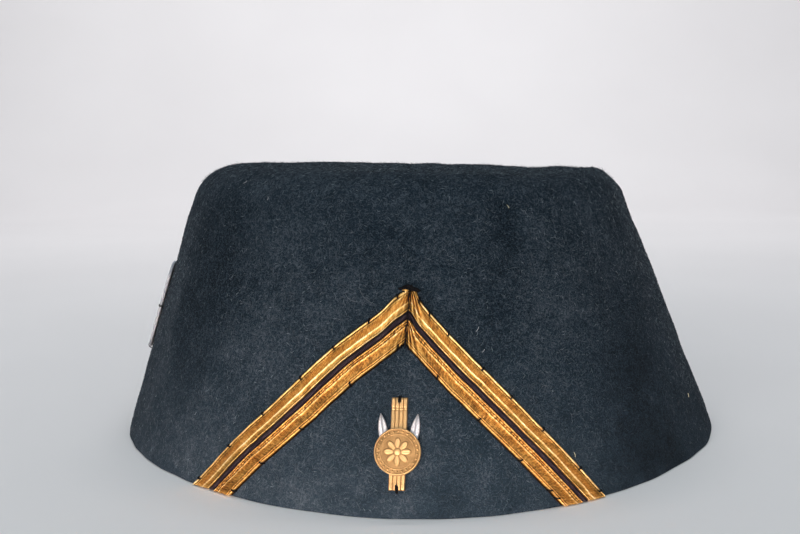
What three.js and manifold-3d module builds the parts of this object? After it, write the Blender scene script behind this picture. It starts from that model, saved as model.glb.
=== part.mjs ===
// Fez of moulded felt, with a braid chevron and a small metal badge sewn on its front.
// Millimetres, +Z up. The hat rests on its rim at z = 0 and its front faces -Y.
// The origin is on the floor plane, below the middle of the rim.
// A place on the felt is given as a turn round it, in degrees from the front towards +X,
// and a height on the wall or a rise along its profile. Left is -X and right is +X.

import * as THREE from 'three';
import Module from 'manifold-3d';
import { mergeVertices } from 'three/addons/utils/BufferGeometryUtils.js';

// Driving dimensions of the felt body, outside
const rim = { width: 172, depth: 200 };
// Size and shift of the oval where the wall's straight lines would meet the plane of the top
const topOval = { width: 119.4, depth: 138.2, right: -2.5, back: 1.1 };
const height = 74.3;
const edgeRadius = { left: 14.8, right: 8.6 };
const feltThickness = 2.4;
// Fall of the top for each millimetre towards +X
const topFall = 0.0275;
// Depth of the shallow dish in the middle of the top
const topDish = 0.8;
// Share by which the rim is narrower at the two front corners of its oval
const frontPinch = 0.034;

// Clearance between a piece and what it is sewn to or seated on
const seatGap = 0.3;

// Braid: its fold at the front, its end above the floor, and its thickness over the seat
const braidFold = { outerHeight: 47.5, innerHeight: 36.3 };
const braidEnd = 0.5;
const braidThickness = 0.9;
const stripeThickness = 0.5;

// Badge: its middle is the middle of the disc
const badge = { turn: -4.1, height: 13.3, lean: 0.5 };
const bar = { width: 3.6, thickness: 0.9, up: 12.2, down: 8.3, reeds: 4, notch: 0.8 };
const disc = { radius: 5.2, thickness: 0.9, rimWidth: 0.5, rimHeight: 0.25, bossRadius: 1.5 };
const leaf = { length: 7.6, width: 2.4, thickness: 0.6, out: 3.0, up: 1.2, splay: 9 };

// Plate on the wearer's right side
const sidePlate = { turn: -84, height: 34.4, width: 14, tall: 25.5, thickness: 0.8, corner: 5 };

// Pressed places in the felt: turn and half width in degrees, rise and half height along the
// profile (0 rim, 1 end of the wall, 2 end of the rounded edge), depth in millimetres
const dents = [
  { turn: 21, rise: 1.0, wide: 4.5, tall: 0.28, deep: 1.2 },
  { turn: 37, rise: 1.7, wide: 9, tall: 0.6, deep: 0.7 },
  { turn: 128, rise: 1.7, wide: 9, tall: 0.6, deep: 0.7 },
  { turn: 47, rise: 0.66, wide: 8, tall: 0.25, deep: 0.9 },
  { turn: -38, rise: 1.5, wide: 18, tall: 0.5, deep: 0.4 },
];

// Turn of the braid's edges round the felt, at even steps from the fold down to the rim
const braidPath = [
  { leftOuter: -1.2, leftInner: -2.5, rightOuter: -1.2, rightInner: -2.5 },
  { leftOuter: -14.7, leftInner: -11.7, rightOuter: 7.2, rightInner: 3.7 },
  { leftOuter: -24.4, leftInner: -19.1, rightOuter: 15.4, rightInner: 10.0 },
  { leftOuter: -33.7, leftInner: -26.5, rightOuter: 22.8, rightInner: 15.9 },
  { leftOuter: -42.0, leftInner: -33.0, rightOuter: 29.3, rightInner: 21.1 },
];

// The braid's three bands, as shares of its width from the outer edge to the inner one
const bands = [
  { name: 'braid_outer', from: 0, to: 0.41, thickness: braidThickness, finish: 'gold' },
  { name: 'braid_stripe', from: 0.45, to: 0.55, thickness: stripeThickness, finish: 'stripe' },
  { name: 'braid_inner', from: 0.59, to: 1, thickness: braidThickness, finish: 'gold' },
];

// Resolution
const turnSteps = 96;
const outerRises = [0, 0.1, 0.22, 0.34, 0.46, 0.58, 0.7, 0.8, 0.9, 1, 1.25, 1.5, 1.75, 2, 2.2, 2.5, 2.85];
const innerRises = [0, 0.25, 0.5, 0.75, 1, 1.33, 1.66, 2, 2.3, 2.85];
const armSteps = 14;
const bandLanes = [0, 0.2, 0.5, 0.8, 1];

const materials = {
  felt: new THREE.MeshStandardMaterial({ color: 0x2f3840, roughness: 0.95, metalness: 0 }),
  gold: new THREE.MeshStandardMaterial({ color: 0xc48a3c, roughness: 0.45, metalness: 0.4 }),
  stripe: new THREE.MeshStandardMaterial({ color: 0x2b2129, roughness: 0.85, metalness: 0 }),
  brass: new THREE.MeshStandardMaterial({ color: 0xd9aa62, roughness: 0.35, metalness: 1 }),
  silver: new THREE.MeshStandardMaterial({ color: 0xc9ccd0, roughness: 0.3, metalness: 1 }),
};

const radians = THREE.MathUtils.degToRad;
const mix = THREE.MathUtils.lerp;

// The wall leans in by one angle all round, the mean of its side and front slopes
const sideRun = (rim.width - topOval.width) / 2;
const frontRun = (rim.depth - topOval.depth) / 2;
const wallLean = Math.atan((sideRun + frontRun) / 2 / height);

// How far a dented place is pressed in
function dentDepth(turn, rise) {
  let depth = 0;
  for (const dent of dents) {
    const across = (turn - dent.turn) / dent.wide;
    const along = (rise - dent.rise) / dent.tall;
    depth += dent.deep * Math.exp(-across * across - along * along);
  }
  return depth;
}

// Height of the profile and how far it lies inside the wall's outer line.
// The rise goes from 0 at the rim to 1 at the wall's end, 2 at the rounded edge's end and 3 in the middle.
function profile(turn, rise, inset) {
  const side = Math.sin(radians(turn));
  const radius = mix(edgeRadius.left, edgeRadius.right, (side + 1) / 2);
  const tangent = radius / Math.tan((Math.PI / 2 + wallLean) / 2);
  const innerRadius = radius - inset;
  const centreHeight = height - radius;
  if (rise <= 1) {
    const wallEnd = centreHeight + innerRadius * Math.sin(wallLean);
    return { z: rise * wallEnd, inside: inset / Math.cos(wallLean) };
  }
  const angle = mix(wallLean, Math.PI / 2, Math.min(rise - 1, 1));
  const z = centreHeight + innerRadius * Math.sin(angle);
  const inside = (height - z) * Math.tan(wallLean) + tangent - innerRadius * Math.cos(angle);
  return { z, inside };
}

// A point of the felt at a turn and a rise, set in from the outer face by an inset.
// A negative inset stands proud of it.
function feltPoint(turn, rise, inset = 0) {
  const { z, inside } = profile(turn, rise, inset + dentDepth(turn, rise));
  const share = z / height;
  const sine = Math.sin(radians(turn));
  const cosine = Math.cos(radians(turn));
  const corner = cosine > 0 ? Math.sin(radians(2 * turn)) ** 2 : 0;
  const pinch = 1 - frontPinch * (1 - share) * corner;
  const spread = rise > 2 ? 3 - rise : 1;
  const halfWidth = mix(rim.width, topOval.width, share) / 2 - inside;
  const halfDepth = mix(rim.depth, topOval.depth, share) / 2 - inside;
  const x = halfWidth * sine * pinch * spread + topOval.right * share;
  const y = -halfDepth * cosine * pinch * spread + topOval.back * share;
  const dish = topDish * (1 - spread * spread);
  return new THREE.Vector3(x, y, z - topFall * x * share - dish);
}

// The rise that a height on the wall has at a turn
function riseAt(turn, wallHeight) {
  return wallHeight / profile(turn, 1, 0).z;
}

// A closed solid through rings of equally many points, with its two ends closed flat.
// The faces are turned outwards, whichever way the rings run.
function loft(rings) {
  const count = rings[0].length;
  const points = rings.flat();
  const faces = [];
  for (let ring = 0; ring + 1 < rings.length; ring += 1) {
    for (let i = 0; i < count; i += 1) {
      const next = (i + 1) % count;
      const a = ring * count + i;
      const b = ring * count + next;
      faces.push([a, b, b + count], [a, b + count, a + count]);
    }
  }
  const middle = (ring) => ring.reduce((sum, p) => sum.add(p), new THREE.Vector3()).divideScalar(count);
  const first = points.push(middle(rings[0])) - 1;
  const last = points.push(middle(rings[rings.length - 1])) - 1;
  const lastRing = (rings.length - 1) * count;
  for (let i = 0; i < count; i += 1) {
    const next = (i + 1) % count;
    faces.push([first, next, i], [last, lastRing + i, lastRing + next]);
  }
  return closedGeometry(points, faces);
}

function closedGeometry(points, faces) {
  const volume = faces.reduce((sum, [a, b, c]) => {
    return sum + points[a].dot(points[b].clone().cross(points[c]));
  }, 0);
  const outward = volume > 0 ? faces : faces.map(([a, b, c]) => [a, c, b]);
  const geometry = new THREE.BufferGeometry();
  geometry.setAttribute('position', new THREE.Float32BufferAttribute(points.flatMap((p) => p.toArray()), 3));
  geometry.setIndex(outward.flat());
  return geometry;
}

// The felt body: the outer skin from the middle of the top down to the rim, and the inner skin back up
function crownGeometry() {
  const ring = (rise, inset) => {
    return Array.from({ length: turnSteps }, (_, i) => feltPoint((i * 360) / turnSteps - 180, rise, inset));
  };
  const outer = outerRises.toReversed().map((rise) => ring(rise, 0));
  const inner = innerRises.map((rise) => ring(rise, feltThickness));
  return loft([...outer, ...inner]);
}

// One edge of one arm of the braid, as a curve of turn and height from the fold to the rim
function braidEdge(column, foldHeight) {
  const last = braidPath.length - 1;
  const stations = braidPath.map((row, i) => {
    return new THREE.Vector3(row[column], mix(foldHeight, braidEnd, i / last), 0);
  });
  return new THREE.CatmullRomCurve3(stations, false, 'catmullrom');
}

const braidArms = {
  left: {
    outer: braidEdge('leftOuter', braidFold.outerHeight),
    inner: braidEdge('leftInner', braidFold.innerHeight),
  },
  right: {
    outer: braidEdge('rightOuter', braidFold.outerHeight),
    inner: braidEdge('rightInner', braidFold.innerHeight),
  },
};

// A point over the braid's seat: a share of its width, a share of the way down an arm, and a lift
function braidPoint(arm, across, down, lift) {
  const place = arm.outer.getPoint(down).lerp(arm.inner.getPoint(down), across);
  return feltPoint(place.x, riseAt(place.x, place.y), -seatGap - lift);
}

// A band of the braid: flat below and crowned above, from the left rim over the fold to the right rim
function bandGeometry({ from, to, thickness }) {
  const section = (arm, down) => {
    const above = bandLanes.map((lane) => {
      const crowning = thickness * mix(0.55, 1, Math.sin(Math.PI * lane));
      return braidPoint(arm, mix(from, to, lane), down, crowning);
    });
    const below = bandLanes.toReversed().map((lane) => braidPoint(arm, mix(from, to, lane), down, 0));
    return [...above, ...below];
  };
  const rings = [];
  for (let step = armSteps; step > 0; step -= 1) {
    rings.push(section(braidArms.left, step / armSteps));
  }
  for (let step = 0; step <= armSteps; step += 1) {
    rings.push(section(braidArms.right, step / armSteps));
  }
  return loft(rings);
}

const manifold = await Module();
manifold.setup();

function toSolid(geometry) {
  const bare = geometry.clone();
  bare.deleteAttribute('normal');
  bare.deleteAttribute('uv');
  const merged = mergeVertices(bare, 1e-4);
  return new manifold.Manifold(new manifold.Mesh({
    numProp: 3,
    vertProperties: new Float32Array(merged.attributes.position.array),
    triVerts: new Uint32Array(merged.index.array),
  }));
}

function fromSolid(solid) {
  const mesh = solid.getMesh();
  const geometry = new THREE.BufferGeometry();
  geometry.setAttribute('position', new THREE.BufferAttribute(new Float32Array(mesh.vertProperties), 3));
  geometry.setIndex(new THREE.BufferAttribute(new Uint32Array(mesh.triVerts), 1));
  return geometry;
}

// The upright bar: a reeded strip along Y with its back at z = 0, and a sewing notch in each end
function barGeometry() {
  const reed = bar.width / bar.reeds / 2;
  const outline = new THREE.Shape();
  outline.moveTo(bar.width / 2, 0);
  for (let i = 0; i < bar.reeds; i += 1) {
    outline.absarc(bar.width / 2 - reed * (2 * i + 1), bar.thickness - reed, reed, 0, Math.PI, false);
  }
  outline.lineTo(-bar.width / 2, 0);
  const strip = new THREE.ExtrudeGeometry(outline, {
    depth: bar.up + bar.down,
    bevelEnabled: false,
    curveSegments: 4,
  });
  strip.rotateX(Math.PI / 2);
  strip.translate(0, bar.up, 0);
  let solid = toSolid(strip);
  for (const end of [bar.up, -bar.down]) {
    const notch = new THREE.BoxGeometry(bar.notch, 2 * bar.notch, 4 * bar.thickness);
    notch.translate(0, end, 0);
    solid = solid.subtract(toSolid(notch));
  }
  return fromSolid(solid);
}

// The round disc, turned about Z with its back at z = 0: a raised rim, a flat field and a low boss
function discGeometry() {
  const field = disc.thickness - disc.rimHeight;
  const outline = [
    [0, 0],
    [disc.radius, 0],
    [disc.radius, disc.thickness - 0.1],
    [disc.radius - 0.1, disc.thickness],
    [disc.radius - disc.rimWidth, disc.thickness],
    [disc.radius - disc.rimWidth - 0.15, field],
    [disc.bossRadius, field],
    [disc.bossRadius / 2, field + disc.rimHeight],
    [0, field + disc.rimHeight],
  ];
  const geometry = new THREE.LatheGeometry(outline.map(([x, y]) => new THREE.Vector2(x, y)), 40);
  geometry.rotateX(Math.PI / 2);
  return geometry;
}

// A pointed leaf along Y, its root at the origin and its back at z = 0
function leafGeometry() {
  const half = leaf.width / 2;
  const outline = new THREE.Shape();
  outline.moveTo(-half / 3, 0);
  outline.lineTo(half / 3, 0);
  outline.quadraticCurveTo(1.5 * half, 0.55 * leaf.length, 0, leaf.length);
  outline.quadraticCurveTo(-1.5 * half, 0.55 * leaf.length, -half / 3, 0);
  return new THREE.ExtrudeGeometry(outline, { depth: leaf.thickness, bevelEnabled: false, curveSegments: 8 });
}

// The side plate: an upright plate with round corners, its middle at the origin and its back at z = 0
function sidePlateGeometry() {
  const x = sidePlate.width / 2 - sidePlate.corner;
  const y = sidePlate.tall / 2 - sidePlate.corner;
  const outline = new THREE.Shape();
  outline.absarc(x, y, sidePlate.corner, 0, Math.PI / 2, false);
  outline.absarc(-x, y, sidePlate.corner, Math.PI / 2, Math.PI, false);
  outline.absarc(-x, -y, sidePlate.corner, Math.PI, 1.5 * Math.PI, false);
  outline.absarc(x, -y, sidePlate.corner, 1.5 * Math.PI, 2 * Math.PI, false);
  return new THREE.ExtrudeGeometry(outline, {
    depth: sidePlate.thickness,
    bevelEnabled: false,
    curveSegments: 6,
  });
}

// A group on the felt wall: its X runs level round the wall, its Y up the wall and its Z straight out
function seatOnWall(turn, wallHeight) {
  const rise = riseAt(turn, wallHeight);
  const nudge = 0.5;
  const across = feltPoint(turn + nudge, rise).sub(feltPoint(turn - nudge, rise)).normalize();
  const up = feltPoint(turn, rise + nudge / height).sub(feltPoint(turn, rise - nudge / height)).normalize();
  const out = across.clone().cross(up).normalize();
  const seat = new THREE.Group();
  seat.position.copy(feltPoint(turn, rise)).addScaledVector(out, seatGap);
  seat.quaternion.setFromRotationMatrix(new THREE.Matrix4().makeBasis(across, out.clone().cross(across), out));
  return seat;
}

function piece(name, geometry, finish) {
  const mesh = new THREE.Mesh(geometry, materials[finish]);
  mesh.name = name;
  return mesh;
}

// The badge: the bar and the leaves lie on the felt, and the disc lies over them
function badgeGroup() {
  const discMesh = piece('badge_disc', discGeometry(), 'brass');
  discMesh.position.z = bar.thickness + seatGap;
  const group = new THREE.Group();
  group.rotation.z = radians(-badge.lean);
  group.add(piece('badge_bar', barGeometry(), 'brass'), discMesh);
  for (const [name, side] of [['badge_leaf_left', -1], ['badge_leaf_right', 1]]) {
    const mesh = piece(name, leafGeometry(), 'silver');
    mesh.position.set(side * leaf.out, leaf.up, 0);
    mesh.rotation.z = radians(-side * leaf.splay);
    group.add(mesh);
  }
  const seat = seatOnWall(badge.turn, badge.height);
  seat.add(group);
  return seat;
}

function sidePlateGroup() {
  const seat = seatOnWall(sidePlate.turn, sidePlate.height);
  seat.add(piece('side_plate', sidePlateGeometry(), 'silver'));
  return seat;
}

const fez = new THREE.Group();
fez.add(piece('crown', crownGeometry(), 'felt'));
for (const band of bands) {
  fez.add(piece(band.name, bandGeometry(band), band.finish));
}
fez.add(badgeGroup(), sidePlateGroup());

export default fez;
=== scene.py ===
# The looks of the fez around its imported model: napped felt, the braid, the badge and the side plate.
import math
from collections import namedtuple

import bpy
import numpy as np
from mathutils import Matrix, Vector


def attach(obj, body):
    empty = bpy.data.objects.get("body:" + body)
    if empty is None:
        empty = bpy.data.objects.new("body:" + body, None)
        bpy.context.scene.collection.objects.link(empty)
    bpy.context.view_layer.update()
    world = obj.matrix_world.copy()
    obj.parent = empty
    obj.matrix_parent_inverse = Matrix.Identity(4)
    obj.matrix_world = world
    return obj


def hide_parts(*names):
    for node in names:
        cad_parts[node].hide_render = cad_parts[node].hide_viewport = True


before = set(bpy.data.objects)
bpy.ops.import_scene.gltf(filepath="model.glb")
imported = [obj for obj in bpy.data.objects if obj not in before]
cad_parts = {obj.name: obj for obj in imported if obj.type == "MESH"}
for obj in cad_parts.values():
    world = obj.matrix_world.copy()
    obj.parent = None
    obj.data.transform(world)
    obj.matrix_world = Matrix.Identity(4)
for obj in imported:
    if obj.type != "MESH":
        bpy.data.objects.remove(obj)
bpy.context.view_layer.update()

# Lengths are in millimetres and turns in degrees, in the frame of the CAD part, until a mesh is made.
# A place on the felt is a turn round it from the front towards +X, a rise along its profile
# (0 rim, 1 end of the wall, 2 end of the rounded edge, 3 middle of the top) and a lift off its face.
MILLIMETRE = 0.001

# Camera
CAMERA_PLACE = (-5.39, -340.0, 81.64)
CAMERA_PITCH = 0.1089
CAMERA_ROLL = -0.0119
CAMERA_LENS = 51.22

# Felt body
RIM_WIDTH = 172
RIM_DEPTH = 200
TOP_WIDTH = 119.4
TOP_DEPTH = 138.2
TOP_RIGHT = -2.5
TOP_BACK = 1.1
HEIGHT = 74.3
EDGE_RADIUS_LEFT = 14.8
EDGE_RADIUS_RIGHT = 8.6
FELT_THICKNESS = 2.4
TOP_FALL = 0.0275
TOP_DISH = 0.8
FRONT_PINCH = 0.034
FELT_WAVES = 0.16
FELT_COLUMNS = 440
RIM_ROUNDING = 0.5
RIM_RISE = 0.012
TOP_RISE = 2.97
WALL_LEAN = math.atan(((RIM_WIDTH - TOP_WIDTH) + (RIM_DEPTH - TOP_DEPTH)) / 4 / HEIGHT)

# Dents: turn, rise, reach round the felt, reach along its profile and depth
DENTS = [
    (21, 1, 4.5, 0.28, 1.2),
    (37, 1.7, 9, 0.6, 0.7),
    (128, 1.7, 9, 0.6, 0.7),
    (47, 0.66, 8, 0.25, 0.9),
    (-38, 1.5, 18, 0.5, 0.4),
    (80, 2.1, 22, 0.55, -1),
    (90, 1.45, 28, 0.42, 0.55),
    (88, 0.85, 26, 0.3, -0.35),
]

# Painted light and shade on the nap, darker (below 0) and paler: turn, rise, the same two reaches and tone.
# They paint the shade in the groove at turn 21 and round the braid's raised tip, and light and shade over
# the wall and along the rim
PAINTED_LIGHT_SPOTS = [
    (-53, 0.72, 9, 0.38, -0.18),
    (46, 0.15, 11, 0.3, -0.18),
    (39, 0.42, 8, 0.14, -0.08),
    (21.4, 0.9, 3, 0.16, -0.2),
    (-0.8, 0.655, 3.4, 0.03, -0.14),
    (2, 0.5, 11, 0.6, -0.06),
    (-46, 0.07, 14, 0.13, 0.06),
    (-18, 0.01, 18, 0.06, 0.06),
    (36, 0.06, 9, 0.09, -0.06),
    (19, 0.52, 5, 0.14, -0.06),
    (47, 0.45, 7, 0.2, -0.04),
    (-37, 0.82, 8, 0.2, -0.05),
    (-42, 0.42, 8, 0.14, -0.04),
    (-66, 0.74, 6, 0.28, 0.08),
    (66, 0.88, 7, 0.25, 0.07),
    (-22, 1.4, 12, 0.35, 0.06),
    (80, 1.2, 14, 0.9, 0.08),
    (52, 0.45, 13, 0.45, -0.07),
    (33, 0.08, 15, 0.2, -0.05),
    (27, 0.96, 22, 0.09, 0.05),
    (-48, 0.42, 12, 0.2, -0.04),
    (69, 0.1, 8, 0.13, -0.1),
    (22, 0.36, 7, 0.13, -0.05),
    (12, 0.58, 7, 0.1, -0.05),
    (-9, 0.41, 8, 0.08, -0.06),
    (11, 0.06, 10, 0.08, -0.04),
    (46, 0.3, 8, 0.07, 0.05),
    (150, 0.5, 22, 0.4, -0.08),
    (-140, 0.9, 26, 0.3, -0.07),
]

# Nap: how sharply it shows at the rim, the rise where that is full, the middle of its fine marks, its tone,
# its fibres' shade from black (0) to pale (4) at the rim and above, the shade's spread and how much it
# follows the painted light and shade, and the counts of fibres on each half of the hat
RIM_CRISPNESS = 0.42
CRISP_RISE = 0.8
FINE_MIDDLE = 0.42
FELT_TONE = 0.37
RIM_SHADE = 2.4
WALL_SHADE = 2.0
SHADE_SPREAD = 1.15
SHADE_PER_PAINTED_LIGHT = 7
SHORT_FIBRES = 25000
LONG_FIBRES = 1500
EDGE_FIBRES = 2600

# Braid
SEAT_GAP = 0.3
BRAID_WIDTH = 8.4
FOLD_HEIGHT_OUTER = 47.5
FOLD_HEIGHT_INNER = 36.3
BRAID_END = 0.3
ARM_LENGTH = 80
THREAD_PITCH = 0.36
STEPS_PER_THREAD = 4

# Turns of the braid's edges from the fold to the rim: left outer, left inner, right outer, right inner
BRAID_PATH = [
    (-1.2, -2.5, -1.2, -2.5),
    (-14.7, -11.7, 7.2, 3.7),
    (-24.4, -19.1, 15.4, 10),
    (-33.7, -26.5, 22.8, 15.9),
    (-42, -33, 29.3, 21.1),
]

# Cross sections of the bands from their outer edge: share of the band's width, lift over the seat,
# tone from dark (0) to pale (1), which paints highlights on the raised cords and shade in the channels
# between them, hue from orange (0) to olive (1) and how knotted the threads are
OUTER_LANES = [
    # The first two rows are a dark lip past the outer edge: a painted shadow between the braid and the felt
    (-0.08, -0.2, -0.6, 0.5, 0),
    (-0.02, -0.1, -0.5, 0.5, 0),
    (0, 0.15, 0.35, 0.5, 0),
    (0.02, 0.48, 0.9, 0.8, 0),
    (0.05, 0.56, 1.06, 0.9, 0.1),
    (0.09, 0.53, 1, 0.9, 0.1),
    (0.12, 0.46, 0.5, 0.8, 0.1),
    (0.145, 0.4, 0, 0.7, 0.1),
    (0.175, 0.45, 0.4, 0.7, 0.3),
    (0.21, 0.51, 0.68, 0.6, 0.5),
    (0.24, 0.49, 0.5, 0.7, 0.3),
    (0.28, 0.45, 0.3, 0.5, 0.2),
    (0.33, 0.45, 0.46, 0.1, 0.2),
    (0.42, 0.46, 0.55, 0, 0.2),
    (0.5, 0.48, 0.57, 0, 0.2),
    (0.56, 0.5, 0.58, 0.1, 0.2),
    (0.6, 0.54, 0.72, 0.3, 0.2),
    (0.63, 0.6, 1.14, 0.7, 0.3),
    (0.665, 0.57, 1.08, 0.7, 0.3),
    (0.7, 0.5, 0.6, 0.8, 0.2),
    (0.76, 0.47, 0.46, 0.8, 0.2),
    (0.82, 0.46, 0.42, 0.9, 0.2),
    (0.87, 0.44, 0.34, 1, 0.2),
    (0.905, 0.4, 0.16, 1, 0.1),
    (0.93, 0.48, 0.7, 0.7, 0.3),
    (0.955, 0.53, 1.02, 0.7, 0.3),
    (0.98, 0.44, 0.7, 0.6, 0.1),
    (0.995, 0.1, 0.15, 0.5, 0),
    (1, -0.45, -0.25, 0.5, 0),
]
INNER_LANES = [
    (0, -0.45, -0.2, 0.2, 0),
    (0.005, 0.1, 0.3, 0.2, 0),
    (0.04, 0.5, 0.74, 0.2, 0.5),
    (0.07, 0.54, 0.84, 0.2, 0.7),
    (0.1, 0.46, 0.48, 0.2, 0.5),
    (0.125, 0.36, 0, 0.6, 0.3),
    (0.155, 0.45, 0.46, 0.3, 0.9),
    (0.19, 0.51, 0.68, 0.1, 1.2),
    (0.22, 0.47, 0.46, 0.3, 0.9),
    (0.25, 0.37, -0.06, 0.7, 0.3),
    (0.28, 0.5, 0.54, 0.3, 0.5),
    (0.315, 0.61, 1.1, 0.6, 0.6),
    (0.35, 0.56, 0.72, 0.3, 0.4),
    (0.39, 0.5, 0.4, 0.2, 0.3),
    (0.46, 0.49, 0.39, 0.2, 0.45),
    (0.54, 0.5, 0.37, 0.35, 0.45),
    (0.61, 0.5, 0.37, 0.6, 0.4),
    (0.68, 0.48, 0.36, 0.85, 0.35),
    (0.75, 0.44, 0.26, 0.8, 0.1),
    (0.785, 0.49, 0.5, 0.5, 0.3),
    (0.81, 0.54, 0.8, 0.5, 0.3),
    (0.835, 0.47, 0.46, 0.5, 0.3),
    (0.86, 0.34, -0.1, 0.6, 0),
    (0.885, 0.46, 0.5, 0.6, 0.1),
    (0.92, 0.56, 0.88, 0.8, 0.2),
    (0.96, 0.5, 0.72, 0.8, 0.1),
    (1, 0.15, 0.3, 0.5, 0),
    # The last two rows are a dark lip past the inner edge: a painted shadow between the braid and the felt
    (1.02, -0.1, -0.5, 0.5, 0),
    (1.08, -0.2, -0.6, 0.5, 0),
]
STRIPE_LANES = [
    (0, -0.45, 0.2, 0, 0),
    (0.02, 0.1, 0.4, 0, 0),
    (0.12, 0.34, 0.6, 0, 0),
    (0.3, 0.42, 0.8, 0, 0),
    (0.5, 0.44, 0.9, 0, 0),
    (0.7, 0.42, 0.8, 0, 0),
    (0.88, 0.34, 0.6, 0, 0),
    (0.98, 0.1, 0.4, 0, 0),
    (1, -0.45, 0.2, 0, 0),
]
Band = namedtuple("Band", "name node lanes start end slot seed")
BANDS = [
    Band("gold_band_outer", "braid_outer", OUTER_LANES, 0.0, 0.43, "gold_braid", 31),
    Band("dark_stripe_woven", "braid_stripe", STRIPE_LANES, 0.44, 0.56, "dark_braid", 32),
    Band("gold_band_inner", "braid_inner", INNER_LANES, 0.57, 1.0, "gold_braid", 33),
]

# Black stitches over the braid's edges: place along an arm from the fold (0) to the rim (1),
# with the left arm negative, and the edge's share of the braid's width
OUTER_STITCHES = [
    -0.045, -0.14, -0.27, -0.42, -0.605, -0.78, -0.965,
    0.048, 0.1, 0.195, 0.36, 0.495, 0.655, 0.85, 0.97,
]
INNER_STITCHES = [-0.035, -0.26, -0.54, -0.77, -0.965, 0.21, 0.46, 0.71, 0.9, 0.95]
STITCH_RADIUS = 0.19
PULL_LENGTH = 0.45
PULL_WIDTH = 0.7

# Badge and side plate
BADGE_TURN = -4.1
BADGE_HEIGHT = 13.3
BADGE_LEAN = 0.5
BAR_WIDTH = 3.6
BAR_THICKNESS = 0.9
BAR_UP = 12.2
BAR_DOWN = 8.3
BAR_REEDS = 4
BAR_NOTCH = 0.8
BAR_CROSS_LINE = 9.9
DISC_RADIUS = 5.2
DISC_THICKNESS = 0.9
DISC_BEADS = 26
DISC_PETALS = 8
LEAF_LENGTH = 7.6
LEAF_WIDTH = 2.4
LEAF_THICKNESS = 0.6
LEAF_OUT = 3.0
LEAF_UP = 1.2
LEAF_SPLAY = 9
PLATE_TURN = -84
PLATE_HEIGHT = 34.4
PLATE_WIDTH = 14
PLATE_TALL = 25.5
PLATE_CORNER = 5


def mixed(low, high, share):
    return low + (high - low) * share


def fade(distance, reach):
    """1 at no distance, and fading off softly over a reach."""
    return np.exp(-(distance / reach) ** 2)


def unit(vectors):
    return vectors / np.linalg.norm(vectors, axis=-1, keepdims=True)


# Repeatable smooth noise

def wave_noise(seed, shortest, longest, dimensions, count=28):
    """A function of points that gives about -1 to 1, made of waves of lengths between two limits."""
    draw = np.random.default_rng(seed)
    lengths = np.exp(draw.uniform(math.log(shortest), math.log(longest), count))
    vectors = unit(draw.normal(size=(count, dimensions))) * (math.tau / lengths)[:, None]
    phases = draw.uniform(0, math.tau, count)

    def noise(points):
        total = np.zeros(points.shape[:-1])
        for vector, phase in zip(vectors, phases):
            total += np.sin(points @ vector + phase)
        return total / math.sqrt(count)

    return noise


felt_waves = wave_noise(11, 9, 34, 3)


# The felt's surface, as in the CAD source

def half_turns(turn):
    """Turns from -180 to 180."""
    return np.mod(turn + 180, 360) - 180


def soft_spots(spots, turn, rise):
    """The sum at each place of spots that fade off all round."""
    total = 0
    for spot_turn, spot_rise, wide, tall, amount in spots:
        total = total + amount * fade(turn - spot_turn, wide) * fade(rise - spot_rise, tall)
    return total


# Painted light and shade on the felt: paler above 0, darker below
def painted_light_tone(turn, rise):
    return soft_spots(PAINTED_LIGHT_SPOTS, half_turns(turn), rise)


def crispness(rise):
    """How sharply the nap's fibres show, less towards the rim."""
    return mixed(RIM_CRISPNESS, 1.0, np.clip(rise / CRISP_RISE, 0, 1))


def profile(turn, rise, inset):
    """Height of the felt's profile and how far it lies inside the wall's outer line."""
    side = np.sin(np.radians(turn))
    radius = mixed(EDGE_RADIUS_LEFT, EDGE_RADIUS_RIGHT, (side + 1) / 2)
    tangent = radius / math.tan((math.pi / 2 + WALL_LEAN) / 2)
    inner_radius = radius - inset
    centre_height = HEIGHT - radius
    wall_end = centre_height + inner_radius * math.sin(WALL_LEAN)
    angle = mixed(WALL_LEAN, math.pi / 2, np.clip(rise - 1, 0, 1))
    edge_z = centre_height + inner_radius * np.sin(angle)
    edge_inside = (HEIGHT - edge_z) * math.tan(WALL_LEAN) + tangent - inner_radius * np.cos(angle)
    z = np.where(rise <= 1, rise * wall_end, edge_z)
    inside = np.where(rise <= 1, inset / math.cos(WALL_LEAN), edge_inside)
    return z, inside


def felt_point(turn, rise, inset=0):
    """Points of the smooth felt, set in from its outer face by an inset."""
    turn = half_turns(turn)
    z, inside = profile(turn, rise, inset + soft_spots(DENTS, turn, rise))
    share = z / HEIGHT
    sine = np.sin(np.radians(turn))
    cosine = np.cos(np.radians(turn))
    corner = np.where(cosine > 0, np.sin(np.radians(2 * turn)) ** 2, 0)
    pinch = 1 - FRONT_PINCH * (1 - share) * corner
    spread = np.where(rise > 2, 3 - rise, 1)
    half_width = mixed(RIM_WIDTH, TOP_WIDTH, share) / 2 - inside
    half_depth = mixed(RIM_DEPTH, TOP_DEPTH, share) / 2 - inside
    x = half_width * sine * pinch * spread + TOP_RIGHT * share
    y = -half_depth * cosine * pinch * spread + TOP_BACK * share
    dish = TOP_DISH * (1 - spread**2)
    return np.stack(np.broadcast_arrays(x, y, z - TOP_FALL * x * share - dish), -1)


def felt_surface(turn, rise, lift=0):
    """Points of the slightly uneven felt, lifted off its face."""
    waves = FELT_WAVES * felt_waves(felt_point(turn, rise))
    return felt_point(turn, rise, -lift - waves)


def felt_axes(turn, rise, lift=0):
    """A point off the felt with its directions level round the felt, up along it and straight out."""
    place = felt_surface(turn, rise, lift)
    across = unit(felt_surface(turn + 0.3, rise, lift) - place)
    along = felt_surface(turn, rise + 0.01, lift) - place
    out = unit(np.cross(across, along))
    return place, across, np.cross(out, across), out


def rise_at(turn, wall_height):
    return wall_height / profile(turn, 1, 0)[0]


# Meshes

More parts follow.
